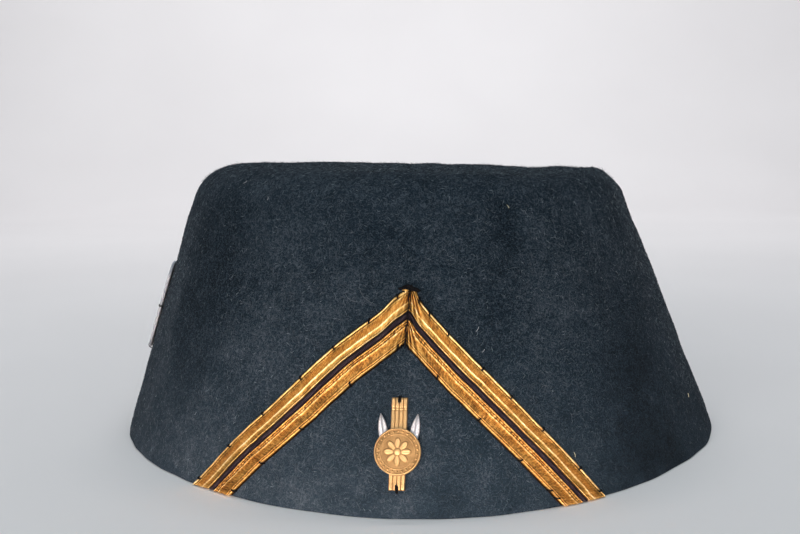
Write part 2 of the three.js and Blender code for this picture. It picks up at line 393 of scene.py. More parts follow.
def loft(rings):
    """A closed form through rings of equally many points, with a point in the middle of each end."""
    rows, count, _ = rings.shape
    index = np.arange(rows * count).reshape(rows, count)
    turned = np.roll(index, -1, axis=1)
    first = rows * count
    last = first + 1
    faces = np.concatenate([
        np.stack([index[:-1], turned[:-1], turned[1:]], -1).reshape(-1, 3),
        np.stack([index[:-1], turned[1:], index[1:]], -1).reshape(-1, 3),
        np.stack([np.full(count, first), turned[0], index[0]], -1),
        np.stack([np.full(count, last), index[-1], turned[-1]], -1),
    ])
    points = np.concatenate([rings.reshape(-1, 3), [rings[0].mean(0)], [rings[-1].mean(0)]])
    corners = points[faces] - points[first]
    volume = np.einsum("ij,ij->i", corners[:, 0], np.cross(corners[:, 1], corners[:, 2])).sum()
    return points, faces if volume > 0 else faces[:, ::-1]


def with_ends(values):
    """Values of a loft's rings, with those of its two middle points added."""
    return np.concatenate([values.reshape(-1), [values[0].mean()], [values[-1].mean()]])


def joined(forms):
    """Several closed forms as one list of points and one of faces."""
    starts = np.cumsum([0] + [len(points) for points, _ in forms])
    points = np.concatenate([points for points, _ in forms])
    faces = np.concatenate([faces + start for (_, faces), start in zip(forms, starts)])
    return points, faces


def tube(path, radius, sides=7):
    """A round thread along a path, thinner at its two ends."""
    path = np.asarray(path, float)
    along = unit(np.gradient(path, axis=0))
    aside = np.cross(along[0], (0.3, -0.5, 0.8))
    angles = np.arange(sides) * math.tau / sides
    rings = []
    for step, (place, ahead) in enumerate(zip(path, along)):
        aside = unit(aside - ahead * (aside @ ahead))
        above = np.cross(ahead, aside)
        end = min(step, len(path) - 1 - step)
        size = radius * (0.6 if end == 0 else 1)
        rings.append(place + size * (np.cos(angles)[:, None] * aside + np.sin(angles)[:, None] * above))
    return loft(np.array(rings))


def new_object(name, data):
    thing = bpy.data.objects.new(name, data)
    bpy.context.scene.collection.objects.link(thing)
    return thing


def make_mesh(name, form, materials, face_materials=None, sharp_angle=None):
    points, faces = form
    mesh = bpy.data.meshes.new(name)
    mesh.from_pydata((points * MILLIMETRE).tolist(), [], faces.tolist())
    for material in materials:
        mesh.materials.append(material)
    if face_materials is not None:
        mesh.polygons.foreach_set("material_index", np.asarray(face_materials, np.int32))
    mesh.shade_smooth()
    if sharp_angle is not None:
        mesh.set_sharp_from_angle(angle=math.radians(sharp_angle))
    return new_object(name, mesh)


def add_values(thing, name, values):
    attribute = thing.data.attributes.new(name, "FLOAT", "POINT")
    attribute.data.foreach_set("value", np.asarray(values, np.float32))


def make_piece(name, form, materials, slot, replaces=(), **mesh_options):
    thing = make_mesh(name, form, materials, **mesh_options)
    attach(thing, "root")
    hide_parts(*replaces)
    return thing


# Materials

class Shader:
    """A new material with helpers for its nodes."""

    def __init__(self, name, **values):
        self.material = bpy.data.materials.new(name)
        self.material.use_nodes = True
        self.nodes = self.material.node_tree.nodes
        self.links = self.material.node_tree.links
        self.surface = self.nodes["Principled BSDF"]
        for socket, value in values.items():
            self.surface.inputs[socket.replace("_", " ")].default_value = value

    def node(self, kind, inputs=None, **settings):
        node = self.nodes.new(kind)
        for setting, value in settings.items():
            setattr(node, setting, value)
        for socket, value in (inputs or {}).items():
            if isinstance(value, bpy.types.NodeSocket):
                self.links.new(value, node.inputs[socket])
            else:
                node.inputs[socket].default_value = value
        return node

    def place(self):
        return self.node("ShaderNodeTexCoord").outputs["Object"]

    def braid_map(self):
        return self.node("ShaderNodeUVMap", uv_map="BraidMap").outputs["UV"]

    def stretched(self, vector, scale):
        return self.node("ShaderNodeMapping", {"Vector": vector, "Scale": scale}).outputs["Vector"]

    def noise(self, vector, size, detail=2.0, distortion=0.0):
        """Noise whose marks are about the given size in millimetres."""
        scale = 1 / (size * MILLIMETRE)
        inputs = {"Vector": vector, "Scale": scale, "Detail": detail, "Distortion": distortion}
        return self.node("ShaderNodeTexNoise", inputs).outputs["Fac"]

    def value(self, name):
        return self.node("ShaderNodeAttribute", attribute_name=name).outputs["Fac"]

    def maths(self, operation, first, second=0.0):
        return self.node("ShaderNodeMath", {0: first, 1: second}, operation=operation).outputs[0]

    def spread(self, value, low, high, to_low=0.0, to_high=1.0):
        inputs = {"Value": value, "From Min": low, "From Max": high, "To Min": to_low, "To Max": to_high}
        return self.node("ShaderNodeMapRange", inputs).outputs["Result"]

    def weighted(self, *pairs):
        """The sum of values, each times its weight."""
        total = self.maths("MULTIPLY", *pairs[0])
        for value, weight in pairs[1:]:
            scaled = self.maths("MULTIPLY", value, weight)
            total = self.maths("ADD", total, scaled)
        return total

    def ramp(self, value, *stops):
        node = self.node("ShaderNodeValToRGB", {"Fac": value})
        elements = node.color_ramp.elements
        for _ in stops[2:]:
            elements.new(0.5)
        for element, (position, colour) in zip(elements, stops):
            element.position = position
            element.color = (*colour, 1)
        return node.outputs["Color"]

    def set(self, socket, value):
        self.links.new(value, self.surface.inputs[socket])

    def colour(self, value, *stops):
        self.set("Base Color", self.ramp(value, *stops))

    def bump(self, height, depth, strength=1.0):
        inputs = {"Height": height, "Distance": depth * MILLIMETRE, "Strength": strength}
        self.set("Normal", self.node("ShaderNodeBump", inputs).outputs["Normal"])


def ridges(shader, noise, width):
    """Curly lines where a noise crosses its middle."""
    distance = shader.maths("ABSOLUTE", shader.maths("SUBTRACT", noise, 0.5))
    return shader.spread(distance, 0, width, 1, 0)


def felt_material():
    shader = Shader("dark_wool_felt", Roughness=0.95, Specular_IOR_Level=0.08)
    place = shader.place()
    clouds = shader.noise(place, 14, detail=3)
    patches = shader.noise(place, 4.0, distortion=0.6)
    curls = ridges(shader, shader.noise(place, 1.6, detail=3, distortion=1.6), 0.055)
    fibres = ridges(shader, shader.noise(place, 0.8, distortion=1.2), 0.06)
    grain = shader.noise(place, 0.3)
    crisp = shader.value("crispness")
    fine = shader.weighted((curls, 0.38), (fibres, 0.36), (grain, 0.6))
    fine = shader.maths("MULTIPLY", shader.maths("SUBTRACT", fine, FINE_MIDDLE), crisp)
    # The painted light and shade is added to the felt's tone here
    tone = shader.weighted((clouds, 0.42), (patches, 0.28), (fine, 1.0), (shader.value("painted_light_tone"), 1.0))
    shader.colour(
        shader.maths("ADD", tone, FELT_TONE),
        (0.4, (0.0026, 0.006, 0.0097)),
        (0.78, (0.015, 0.0268, 0.0404)),
        (1.0, (0.055, 0.073, 0.093)),
    )
    relief = shader.weighted((curls, 0.5), (fibres, 0.4), (grain, 0.7), (patches, 0.6))
    shader.bump(shader.maths("MULTIPLY", relief, crisp), 0.22)
    return shader.material


def plain_fibre(name, colour):
    return Shader(name, Base_Color=(*colour, 1), Roughness=0.9, Specular_IOR_Level=0.1).material


def gold_material():
    shader = Shader("gold_thread", Metallic=0.8)
    place = shader.braid_map()
    streaks = shader.noise(shader.stretched(place, (1.0, 0.3, 1.0)), 0.22)
    slubs = shader.noise(shader.stretched(place, (0.45, 1.0, 1.0)), 0.5, detail=3, distortion=0.6)
    mottles = shader.noise(place, 1.6, detail=3, distortion=0.8)
    # Fine marks that paint small glints into the colour; they also vary the roughness and the bump
    painted_glints = shader.noise(place, 0.26, detail=1)
    tone = shader.weighted(
        (shader.value("tone"), 0.72), (streaks, 0.34), (slubs, 0.46), (mottles, 0.26), (painted_glints, 0.34)
    )
    tone = shader.maths("SUBTRACT", tone, 0.62)
    orange = shader.ramp(
        tone,
        (0.0, (0.022, 0.008, 0.002)),
        (0.25, (0.19, 0.066, 0.01)),
        (0.5, (0.53, 0.215, 0.034)),
        (0.75, (0.82, 0.47, 0.135)),
        (1.0, (0.95, 0.79, 0.48)),
    )
    olive = shader.ramp(
        tone,
        (0.0, (0.02, 0.011, 0.003)),
        (0.25, (0.15, 0.078, 0.014)),
        (0.5, (0.41, 0.24, 0.058)),
        (0.75, (0.75, 0.51, 0.19)),
        (1.0, (0.95, 0.82, 0.5)),
    )
    aged = shader.noise(shader.stretched(place, (1.0, 0.35, 1.0)), 2.6)
    hue = shader.weighted((shader.value("hue"), 0.8), (aged, 1.2))
    mix = shader.node("ShaderNodeMix", {"Factor": shader.spread(hue, 0.5, 1.5)}, data_type="RGBA")
    shader.links.new(orange, mix.inputs["A"])
    shader.links.new(olive, mix.inputs["B"])
    shader.set("Base Color", mix.outputs["Result"])
    shader.set("Roughness", shader.spread(painted_glints, 0.3, 0.7, 0.4, 0.6))
    shader.bump(shader.weighted((streaks, 0.6), (slubs, 0.5), (painted_glints, 0.5)), 0.05)
    return shader.material


def stripe_material():
    shader = Shader("dark_silk_braid", Roughness=0.7, Specular_IOR_Level=0.12)
    place = shader.braid_map()
    strands = shader.noise(shader.stretched(place, (1.0, 0.35, 1.0)), 0.3)
    dust = shader.noise(place, 1.8, detail=3)
    tone = shader.weighted((shader.value("tone"), 0.5), (strands, 0.4), (dust, 0.25))
    shader.colour(
        tone,
        (0.4, (0.004, 0.002, 0.004)),
        (0.7, (0.012, 0.0075, 0.012)),
        (0.95, (0.04, 0.031, 0.036)),
    )
    shader.bump(strands, 0.06)
    return shader.material


def thread_material():
    shader = Shader("black_thread", Roughness=0.8, Specular_IOR_Level=0.05)
    twist = shader.noise(shader.place(), 0.18)
    shader.colour(twist, (0.35, (0.002, 0.002, 0.002)), (0.7, (0.01, 0.01, 0.012)))
    shader.bump(twist, 0.05)
    return shader.material


def metal_material(name, recess_colour, raised_colour, roughness):
    """A struck metal, darker and duller in its recesses."""
    shader = Shader(name, Metallic=1.0)
    place = shader.place()
    stains = shader.noise(place, 2.2, detail=4, distortion=0.5)
    scuffs = shader.noise(shader.stretched(place, (1.0, 1.0, 0.25)), 0.16)
    tone = shader.weighted((shader.value("relief"), 0.6), (stains, 0.45), (scuffs, 0.2))
    # The first colour is for the recesses, the second for the raised parts
    shader.colour(tone, (0.22, recess_colour), (0.75, raised_colour))
    shader.set("Roughness", shader.spread(tone, 0.3, 1.0, roughness + 0.18, roughness))
    shader.bump(shader.weighted((scuffs, 0.5), (stains, 0.5)), 0.03)
    return shader.material


def studio_material():
    shader = Shader("pale_paper", Roughness=0.9)
    shade = shader.noise(shader.place(), 260)
    shader.colour(shade, (0.3, (0.77, 0.745, 0.755)), (0.7, (0.81, 0.785, 0.795)))
    return shader.material


# Studio

def make_camera():
    data = bpy.data.cameras.new("camera")
    data.lens = CAMERA_LENS
    data.sensor_width = 36
    data.clip_start = 0.01
    camera = new_object("camera", data)
    turned = Matrix.Rotation(math.pi / 2 - CAMERA_PITCH, 4, "X") @ Matrix.Rotation(CAMERA_ROLL, 4, "Z")
    camera.matrix_world = Matrix.Translation(Vector(CAMERA_PLACE) * MILLIMETRE) @ turned
    bpy.context.scene.camera = camera


def area_light(name, place, aim, size, power, colour=(1, 1, 1), spread=180):
    data = bpy.data.lights.new(name, "AREA")
    data.shape = "RECTANGLE"
    data.size = size[0] * MILLIMETRE
    data.size_y = size[1] * MILLIMETRE
    data.energy = power
    data.color = colour
    data.spread = math.radians(spread)
    light = new_object(name, data)
    light.location = Vector(place) * MILLIMETRE
    light.rotation_euler = (Vector(aim) - Vector(place)).to_track_quat("-Z", "Y").to_euler()
    light.visible_camera = False
    return light


def keep_light_off(light, thing):
    """Let a light leave one thing out."""
    left_out = bpy.data.collections.new(light.name + "_leaves_out")
    left_out.objects.link(thing)
    left_out.collection_objects[0].light_linking.link_state = "EXCLUDE"
    light.light_linking.receiver_collection = left_out


def make_world():
    world = bpy.data.worlds.new("pale_room")
    world.use_nodes = True
    sky = world.node_tree.nodes["Background"].inputs
    sky["Color"].default_value = (0.72, 0.8, 0.9, 1)
    sky["Strength"].default_value = 0.14
    bpy.context.scene.world = world
    bpy.context.scene.view_settings.view_transform = "Standard"


def make_sweep():
    """A paper floor that bends up into a wall behind the hat."""
    floor_end = 900
    bend = 500
    floor_y = np.linspace(-3000, floor_end, 14)
    angles = np.radians(np.linspace(7.5, 90, 12))
    curve = np.stack([floor_end + bend * np.sin(angles), bend - bend * np.cos(angles)], -1)
    wall = np.stack([np.full(4, floor_end + bend), np.linspace(900, 2600, 4)], -1)
    line = np.concatenate([np.stack([floor_y, np.zeros(14)], -1), curve, wall])
    lanes = np.linspace(-3200, 3200, 9)
    grid = np.array([[(x, y, z) for x in lanes] for y, z in line])
    index = np.arange(grid.shape[0] * grid.shape[1]).reshape(grid.shape[:2])
    faces = np.stack([index[:-1, :-1], index[:-1, 1:], index[1:, 1:], index[1:, :-1]], -1)
    form = grid.reshape(-1, 3), faces.reshape(-1, 4)
    floor = make_mesh("studio_sweep", form, [studio_material()])
    return floor


def make_lights(floor):
    area_light("key", (-370, -1060, 290), (0, 0, 30), (700, 420), 6.7, (1.0, 0.985, 0.96))
    area_light("fill", (560, -960, 420), (0, 0, 30), (600, 600), 1.35, (0.97, 0.98, 1.0))
    area_light("top", (0, -350, 1100), (0, -150, 0), (900, 700), 3.45, (0.78, 0.96, 1.0))
    low = area_light("low_front", (-110, -300, 8), (-95, -95, 6), (400, 14), 0.175, (1.0, 0.74, 0.6), 34)
    keep_light_off(low, floor)
    area_light("backdrop_light", (0, 500, 1250), (0, 1300, 560), (1000, 400), 13.5)


# Felt

def make_felt(felt):
    """The hollow felt body: its outer face from the top's middle down, the cut rim and its inner face."""
    outer_rises = np.concatenate([
        np.linspace(TOP_RISE, 2, 36, endpoint=False),
        np.linspace(2, 1, 26, endpoint=False),
        np.linspace(1, RIM_RISE, 62),
    ])
    inner_rises = np.concatenate([
        np.linspace(RIM_RISE, 1, 34),
        np.linspace(1, 2, 14)[1:],
        np.linspace(2, TOP_RISE, 18)[1:],
    ])
    corner = np.radians(np.linspace(0, 90, 5))
    corner_rises = 0.008 * (1 - np.sin(corner))
    corner_insets = RIM_ROUNDING * (1 - np.cos(corner))
    rises = np.concatenate([outer_rises, corner_rises, corner_rises[::-1], inner_rises])[:, None]
    insets = np.concatenate([
        np.zeros(len(outer_rises)),
        corner_insets,
        FELT_THICKNESS - corner_insets[::-1],
        np.full(len(inner_rises), FELT_THICKNESS),
    ])[:, None]
    turns = np.arange(FELT_COLUMNS) * 360 / FELT_COLUMNS
    form = loft(felt_surface(turns, rises, -insets))
    thing = make_piece("felt_body", form, [felt], "felt", ["crown"])
    # The painted light and shade is kept on each point for the felt's material
    add_values(thing, "painted_light_tone", with_ends(painted_light_tone(turns, rises)))
    add_values(thing, "crispness", with_ends(crispness(rises + 0 * turns)))


def felt_places(draw, count, turns, rises):
    """Random turns and rises, spread evenly over the felt's area between limits."""
    turn_edges = np.linspace(*turns, 121)
    rise_edges = np.linspace(*rises, 61)
    corners = felt_point(turn_edges[:, None], rise_edges)
    sides = corners[1:, :-1] - corners[:-1, :-1], corners[:-1, 1:] - corners[:-1, :-1]
    areas = np.linalg.norm(np.cross(*sides), axis=-1).ravel()
    cells = draw.choice(len(areas), size=count, p=areas / areas.sum())
    row, column = np.divmod(cells, 60)
    turn = mixed(turn_edges[row], turn_edges[row + 1], draw.random(count))
    rise = mixed(rise_edges[column], rise_edges[column + 1], draw.random(count))
    return turn, rise


def fibre_form(draw, turn, rise, lengths, radius, lifts, bend=0.35):
    """Fine bent fibres lying on the felt, each a closed needle of six faces with one kink."""
    count = len(turn)
    place, across, along, out = felt_axes(turn, rise)
    angle = draw.normal(0, 0.9, count)[:, None]
    ahead = np.cos(angle) * across + np.sin(angle) * along
    aside = np.cross(out, ahead)
    half = draw.uniform(*lengths, count)[:, None] / 2
    sway = draw.normal(0, bend, (2, count, 1)) * half
    middle_lift = draw.uniform(0.02, lifts[0], count)[:, None]
    tip_lift = draw.uniform(0.0, lifts[1], count)[:, None]
    size = draw.uniform(*radius, count)[:, None]
    root = place - ahead * half - out * 0.04
    middle = place + aside * sway[0] + out * middle_lift
    tip = place + ahead * half + aside * (sway[0] + sway[1]) + out * tip_lift
    angles = np.radians([90, 210, 330])
    ring = [middle + size * (math.cos(a) * aside + math.sin(a) * out) for a in angles]
    points = np.stack([root, *ring, tip], 1)
    single = np.array([(0, 2, 1), (0, 3, 2), (0, 1, 3), (4, 1, 2), (4, 2, 3), (4, 3, 1)])
    faces = single[None] + 5 * np.arange(count)[:, None, None]
    return points.reshape(-1, 3), faces.reshape(-1, 3)


def make_nap():
    """Short fibres over the whole outer face, and longer ones that stand off the rounded edge."""
    shades = [plain_fibre(f"felt_fibre_{name}", colour) for name, colour in [
        ("black", (0.005, 0.008, 0.011)),
        ("dark", (0.0115, 0.018, 0.026)),
        ("mid", (0.0325, 0.046, 0.06)),
        ("light", (0.081, 0.105, 0.128)),
        ("pale", (0.18, 0.22, 0.25)),
    ]]
    for name, seed, turns in [("nap_front", 21, (-90, 90)), ("nap_back", 22, (90, 270))]:
        draw = np.random.default_rng(seed)
        short = felt_places(draw, SHORT_FIBRES, turns, (0.02, TOP_RISE))
        long = felt_places(draw, LONG_FIBRES, turns, (0.05, 2.2))
        edge = felt_places(draw, EDGE_FIBRES, turns, (1.3, 2.4))
        forms = [
            fibre_form(draw, *short, (0.8, 1.9), (0.032, 0.07), (0.09, 0.16)),
            fibre_form(draw, *long, (1.6, 4.0), (0.02, 0.034), (0.2, 0.5)),
            fibre_form(draw, *edge, (0.8, 2.2), (0.022, 0.036), (0.4, 1.0)),
        ]
        turn, rise = (np.concatenate(values) for values in zip(short, long, edge))
        crisp = crispness(rise)
        shade = mixed(RIM_SHADE, WALL_SHADE, crisp) + draw.normal(0, SHADE_SPREAD, len(turn)) * crisp
        # The fibres' shades follow the painted light and shade as well
        shade = np.round(shade + SHADE_PER_PAINTED_LIGHT * painted_light_tone(turn, rise))
        shade = np.clip(shade, 0, len(shades) - 1).astype(int)
        make_piece(name, joined(forms), shades, "felt", face_materials=np.repeat(shade, 6))


def make_lint():
    """A few pale hairs caught in the nap."""
    straw = plain_fibre("lint_straw", (0.62, 0.58, 0.38))
    white = plain_fibre("lint_white", (0.4, 0.42, 0.44))
    grey = plain_fibre("lint_grey", (0.13, 0.15, 0.17))
    # Turn, rise, length, slant, curl, radius and material of each hair
    hairs = [
        (22.2, 0.99, 1, 115, 0.05, 0.06, 0), (-46.5, 1.42, 1.2, 60, 0.3, 0.05, 1),
        (-35.5, 1.12, 0.9, 100, 0.2, 0.05, 1), (64.2, 0.2, 1, 75, 0.3, 0.08, 0),
        (10.8, 0.58, 1.4, 55, 0.1, 0.05, 1), (11.4, 0.51, 1, 45, 0.1, 0.05, 1),
        (25.1, 0.15, 1.1, 95, 0.1, 0.05, 0), (-9.6, 0.7, 6, -48, 0.9, 0.035, 2),
        (-12.5, 0.69, 4.2, -30, 0.7, 0.035, 2), (41.5, 0.91, 1.6, 60, 0.2, 0.04, 2),
        (33.5, 0.84, 1.8, -30, 0.2, 0.04, 2), (34.5, 2, 2, 80, 0.6, 0.035, 2),
        (150, 0.6, 2.2, 40, 0.7, 0.05, 1), (-130, 0.9, 1.5, 80, 0.4, 0.05, 0),
    ]
    forms = []
    for turn, rise, length, slant, curl, radius, _ in hairs:
        place, across, along, out = felt_axes(turn, rise, 0.14)
        angle = math.radians(slant)
        ahead = math.cos(angle) * across + math.sin(angle) * along
        aside = np.cross(out, ahead)
        steps = np.linspace(-0.5, 0.5, 9)[:, None]
        bow = aside * curl * (4 * steps**2 - 1)
        path = place + ahead * steps * length + bow + out * 0.1 * steps
        forms.append(tube(path, radius, sides=5))
    kinds = np.repeat([hair[-1] for hair in hairs], [len(faces) for _, faces in forms])
    make_piece("lint_hairs", joined(forms), [straw, white, grey], "felt", face_materials=kinds)


# Braid

def smooth_curve(values, places):
    """A Catmull-Rom curve through values at 0, 1, 2 and so on, read at places along it."""
    values = np.asarray(values, float)
    padded = np.concatenate([[2 * values[0] - values[1]], values, [2 * values[-1] - values[-2]]])
    step = np.clip(np.floor(places).astype(int), 0, len(values) - 2)
    share = places - step
    before, start, end, after = (padded[step + offset] for offset in range(4))
    start_slope = (end - before) / 2
    end_slope = (after - start) / 2
    bend = 3 * (end - start) - 2 * start_slope - end_slope
    twist = start_slope + end_slope - 2 * (end - start)
    return start + share * (start_slope + share * (bend + share * twist))


def tip_bulge(down):
    """How much the gathered tip stands out of the fold's plain corner."""
    from_fold = np.abs(down) * ARM_LENGTH
    left = fade(from_fold - 4.0, 3.0)
    right = 1.1 * fade(from_fold - 2.0, 1.7)
    return 0.55 * fade(from_fold, 2.2) + np.where(down < 0, left, right)


def braid_place(down, across):
    """Turn and wall height on the braid, from places down an arm (below 0 on the left) and across it."""
    down, across = np.broadcast_arrays(np.asarray(down, float), np.asarray(across, float))
    size = np.abs(down)
    along = size * (len(BRAID_PATH) - 1)
    edges = [smooth_curve(column, along) for column in zip(*BRAID_PATH)]
    left_outer, left_inner, right_outer, right_inner = edges
    outer = np.where(down < 0, left_outer, right_outer)
    inner = np.where(down < 0, left_inner, right_inner)
    outer_height = mixed(FOLD_HEIGHT_OUTER, BRAID_END, size) + tip_bulge(down)
    inner_height = mixed(FOLD_HEIGHT_INNER, BRAID_END, size)
    return mixed(outer, inner, across), mixed(outer_height, inner_height, across)


def braid_point(down, across, lift):
    turn, wall_height = braid_place(down, across)
    return felt_surface(turn, rise_at(turn, wall_height), lift + SEAT_GAP)


def braid_stations():
    """Places along the braid from the left rim to the right rim, and their distance from the fold."""
    places = []
    distances = []
    for side in (-1, 1):
        line = braid_point(side * np.linspace(0, 1, 200), 0.5, 0)
        length = np.linalg.norm(np.diff(line, axis=0), axis=1).sum()
        count = round(length / THREAD_PITCH * STEPS_PER_THREAD)
        share = np.arange(1, count + 1) / count
        places.append(side * share)
        distances.append(side * share * length)
    down = np.concatenate([places[0][::-1], [0], places[1]])
    distance = np.concatenate([distances[0][::-1], [0], distances[1]])
    return down, distance


def stitch_pulls(down, distance, across):
    """How far each place of the braid is drawn in by the stitches near it, from 0 to 1."""
    pull = np.zeros(np.broadcast(distance, across).shape)
    for places, edge in [(OUTER_STITCHES, 0), (INNER_STITCHES, 1)]:
        for place in places:
            along = distance - np.interp(place, down[:, 0], distance[:, 0])
            pull += fade(along, PULL_LENGTH) * fade((across - edge) * BRAID_WIDTH, PULL_WIDTH)
    return np.minimum(pull, 1)


def tip_gathers(distance, width):
    """How strongly the braid is gathered near the fold's tip, and its fan of small folds there."""
    from_tip = np.hypot(distance, width)
    fan = np.arctan2(np.abs(distance), np.maximum(width, 0.01))
    strength = np.where(distance > 0, 0.17, 0.07) * fade(from_tip, 5.0)
    strength = strength * np.clip(from_tip / 1.5, 0, 1)
    return strength, strength * np.sin(16 * fan + 0.25 * from_tip)


def make_band(band, material, stations):
    """One band of the braid, ribbed by its threads, pulled in by its stitches and sunk at the fold."""
    down, distance = (values[:, None] for values in stations)
    share, lift, tone, hue, knots = np.array(band.lanes).T
    width = share * (band.end - band.start) * BRAID_WIDTH
    flat = np.stack(np.broadcast_arrays(distance, width), -1)
    sideways = wave_noise(band.seed, 5, 24, 1)(distance[..., None])
    unevenness = wave_noise(band.seed + 10, 2.5, 9, 2)(flat)
    knotting = wave_noise(band.seed + 20, 0.38, 1.2, 2)(flat)
    middle = np.sin(math.pi * np.clip(share, 0, 1))
    near_rim = fade(1 - np.abs(down), 0.05)
    across = mixed(band.start, band.end, share) + 0.003 * sideways
    across = across + 0.005 * (1 + 3 * near_rim) * middle * unevenness
    pull = stitch_pulls(down, distance, across)
    across = across + 0.007 * pull * np.sign(0.5 - across)
    sunk = fade(distance, 0.5)
    gathers, tip_folds = tip_gathers(distance, width)
    above = np.clip((lift + 0.45) / 0.8, 0, 1)
    threads = np.cos(math.tau * (np.abs(distance) / THREAD_PITCH + 0.35 * width))
    detail = 0.022 * threads + 0.04 * middle * unevenness + 0.08 * knots * knotting + tip_folds
    end_fold = fade(1 - np.abs(down), 0.012)
    lift = lift + above * (detail - 0.22 * pull - 0.3 * sunk + 0.1 * end_fold * np.sin(5 * width))
    top = braid_point(down, across, lift)
    back = braid_point(down, mixed(band.start, band.end, np.array([0.8, 0.5, 0.2])), -0.45)
    form = loft(np.concatenate([top, back], 1))
    thing = make_piece(band.name, form, [material], band.slot, [band.node])
    # The tone follows the relief: raised threads, knots, small folds at the tip and folded ends at the rim
    # are painted paler as highlights, the stitch dimples and the sunk fold darker as painted shade, and the
    # lanes' light and shade even out where the tip is gathered
    tone = mixed(tone, 0.55, 3.5 * gathers)
    tone = tone + 0.08 * unevenness + 0.26 * knots * knotting + 0.09 * threads + 3.2 * tip_folds
    tone = tone - 0.3 * pull - 0.5 * sunk + 0.25 * end_fold

    def with_back(top_values, back_value):
        values = [np.broadcast_to(top_values, top.shape[:2]), np.full(back.shape[:2], back_value)]
        return with_ends(np.concatenate(values, 1))

    add_values(thing, "tone", with_back(tone, 0.1))
    add_values(thing, "hue", with_back(hue, 0.1))
    add_map(thing, with_back(width, width.mean()), with_back(distance, distance))


def add_map(thing, across, along):
    """A flat map of a band in metres, so that marks keep their size."""
    layer = thing.data.uv_layers.new(name="BraidMap")
    corners = np.zeros(len(thing.data.loops), np.int32)
    thing.data.loops.foreach_get("vertex_index", corners)
    pairs = np.stack([across, along], -1) * MILLIMETRE
    layer.data.foreach_set("uv", pairs[corners].astype(np.float32).ravel())


def stitch_path(down, edge, inward, slant):
    """A stitch out of the felt, over the braid's edge and down into the braid."""
    reach = np.array([-0.3, -0.25, -0.14, 0.02, 0.2, 0.38, 0.52, 0.6]) / BRAID_WIDTH
    lift = np.array([-0.45, 0.02, 0.38, 0.6, 0.66, 0.64, 0.52, 0.15])
    slants = slant * np.linspace(-1, 1, len(reach))
    return braid_point(down + slants, edge + inward * reach, lift)


def edge_stitches(draw):
    forms = []
    for places, edge, inward in [(OUTER_STITCHES, 0, 1), (INNER_STITCHES, 1, -1)]:
        for place in places:
            path = stitch_path(place, edge, inward, draw.uniform(-0.003, 0.003))
            forms.append(tube(path, STITCH_RADIUS * draw.uniform(0.85, 1.15)))
    return forms


def fold_threads(draw):
    """The thread down the fold, and those that hold its two ends."""
    across = np.linspace(-0.03, 1.04, 40)
    weave = 0.1 * np.sin(across * 40) + 0.06 * draw.normal(size=40)
    forms = [tube(braid_point(0.003 * np.sin(across * 23), across, 0.5 + weave), 0.15)]
    for down, start, end, lift in [
        (-0.022, -0.05, 0.05, 0.5), (-0.008, -0.05, 0.03, 0.55),
        (0.01, -0.05, 0.04, 0.55), (-0.018, 0.97, 1.06, 0.45),
        (0.004, 0.95, 1.08, 0.55), (0.022, 0.97, 1.07, 0.45),
    ]:
        along = np.linspace(start, end, 9)
        arch = lift * np.sin(np.linspace(0.1, math.pi - 0.1, 9)) ** 0.5
        forms.append(tube(braid_point(down + 0.002 * np.linspace(-1, 1, 9), along, arch), 0.16))
    return forms


def tip_clump():
    """The clump of black thread at the fold's tip, which also stands in for the shadow under the raised
    tip.
    """
    place, level, along, out = felt_axes(-1.5, rise_at(-1.5, 47.9), 0.55)
    steps = np.linspace(0, 1, 11)[:, None]
    arch = 0.4 * np.sin(math.pi * steps)
    forms = []
    for start, end, height, bow in [
        (-2.3, 2.6, -0.05, 0.16), (-2.0, 2.2, 0.25, -0.12),
        (-1.5, 1.8, 0.52, 0.1), (-2.4, 1.4, 0.14, -0.1),
        (-1.2, 2.7, 0.08, 0.12), (-0.9, 2.3, 0.38, 0.08),
        (-0.8, 1.2, 0.72, 0.05),
    ]:
        sway = height + bow * np.sin(math.tau * steps) - 0.5 * steps**2
        path = place + level * mixed(start, end, steps) + along * sway + out * arch
        forms.append(tube(path, 0.26))
    return forms


def make_threads(thread):
    draw = np.random.default_rng(41)
    forms = [*edge_stitches(draw), *fold_threads(draw), *tip_clump()]
    make_piece("black_stitches", joined(forms), [thread], "dark_braid")


def make_tuft(gold):
    """Frayed gold wires that stand out of the fold's tip."""
    draw = np.random.default_rng(42)
    place, level, along, out = felt_axes(-2.0, rise_at(-2.0, 47.1), 0.6)
    forms = []
    for _ in range(16):
        lean = draw.normal(-0.35, 0.45)
        length = draw.uniform(0.6, 1.4)
        start = place + level * draw.normal(0, 0.45) + along * draw.normal(0, 0.2)
        steps = np.linspace(0, 1, 6)[:, None]
        ahead = math.sin(lean) * level + math.cos(lean) * along
        bow = out * (0.45 * np.sin(math.pi * steps) * draw.uniform(0.4, 1))
        curl = bow + level * 0.15 * draw.normal() * steps**2
        forms.append(tube(start + ahead * steps * length + curl, 0.075, sides=5))
    thing = make_piece("gold_tuft", joined(forms), [gold], "gold_braid")
    count = len(thing.data.vertices)
    add_values(thing, "tone", 0.75 + 0.3 * draw.random(count))
    add_values(thing, "hue", np.full(count, 0.4))
    add_map(thing, np.zeros(count), np.arange(count) * 0.05)


# Badge and side plate

def wall_seat(turn, wall_height, lean=0.0):
    """The axes of a piece that is seated on the wall, as in the CAD source."""
    rise = rise_at(turn, wall_height)
    across = unit(felt_point(turn + 0.5, rise) - felt_point(turn - 0.5, rise))
    nudge = 0.5 / HEIGHT
    up = unit(felt_point(turn, rise + nudge) - felt_point(turn, rise - nudge))
    out = unit(np.cross(across, up))
    angle = math.radians(-lean)
    right = math.cos(angle) * across + math.sin(angle) * np.cross(out, across)
    return felt_point(turn, rise) + out * SEAT_GAP, np.array([right, np.cross(out, right), out])


def seated(form, seat):
    points, faces = form
    place, axes = seat
    return place + points @ axes, faces


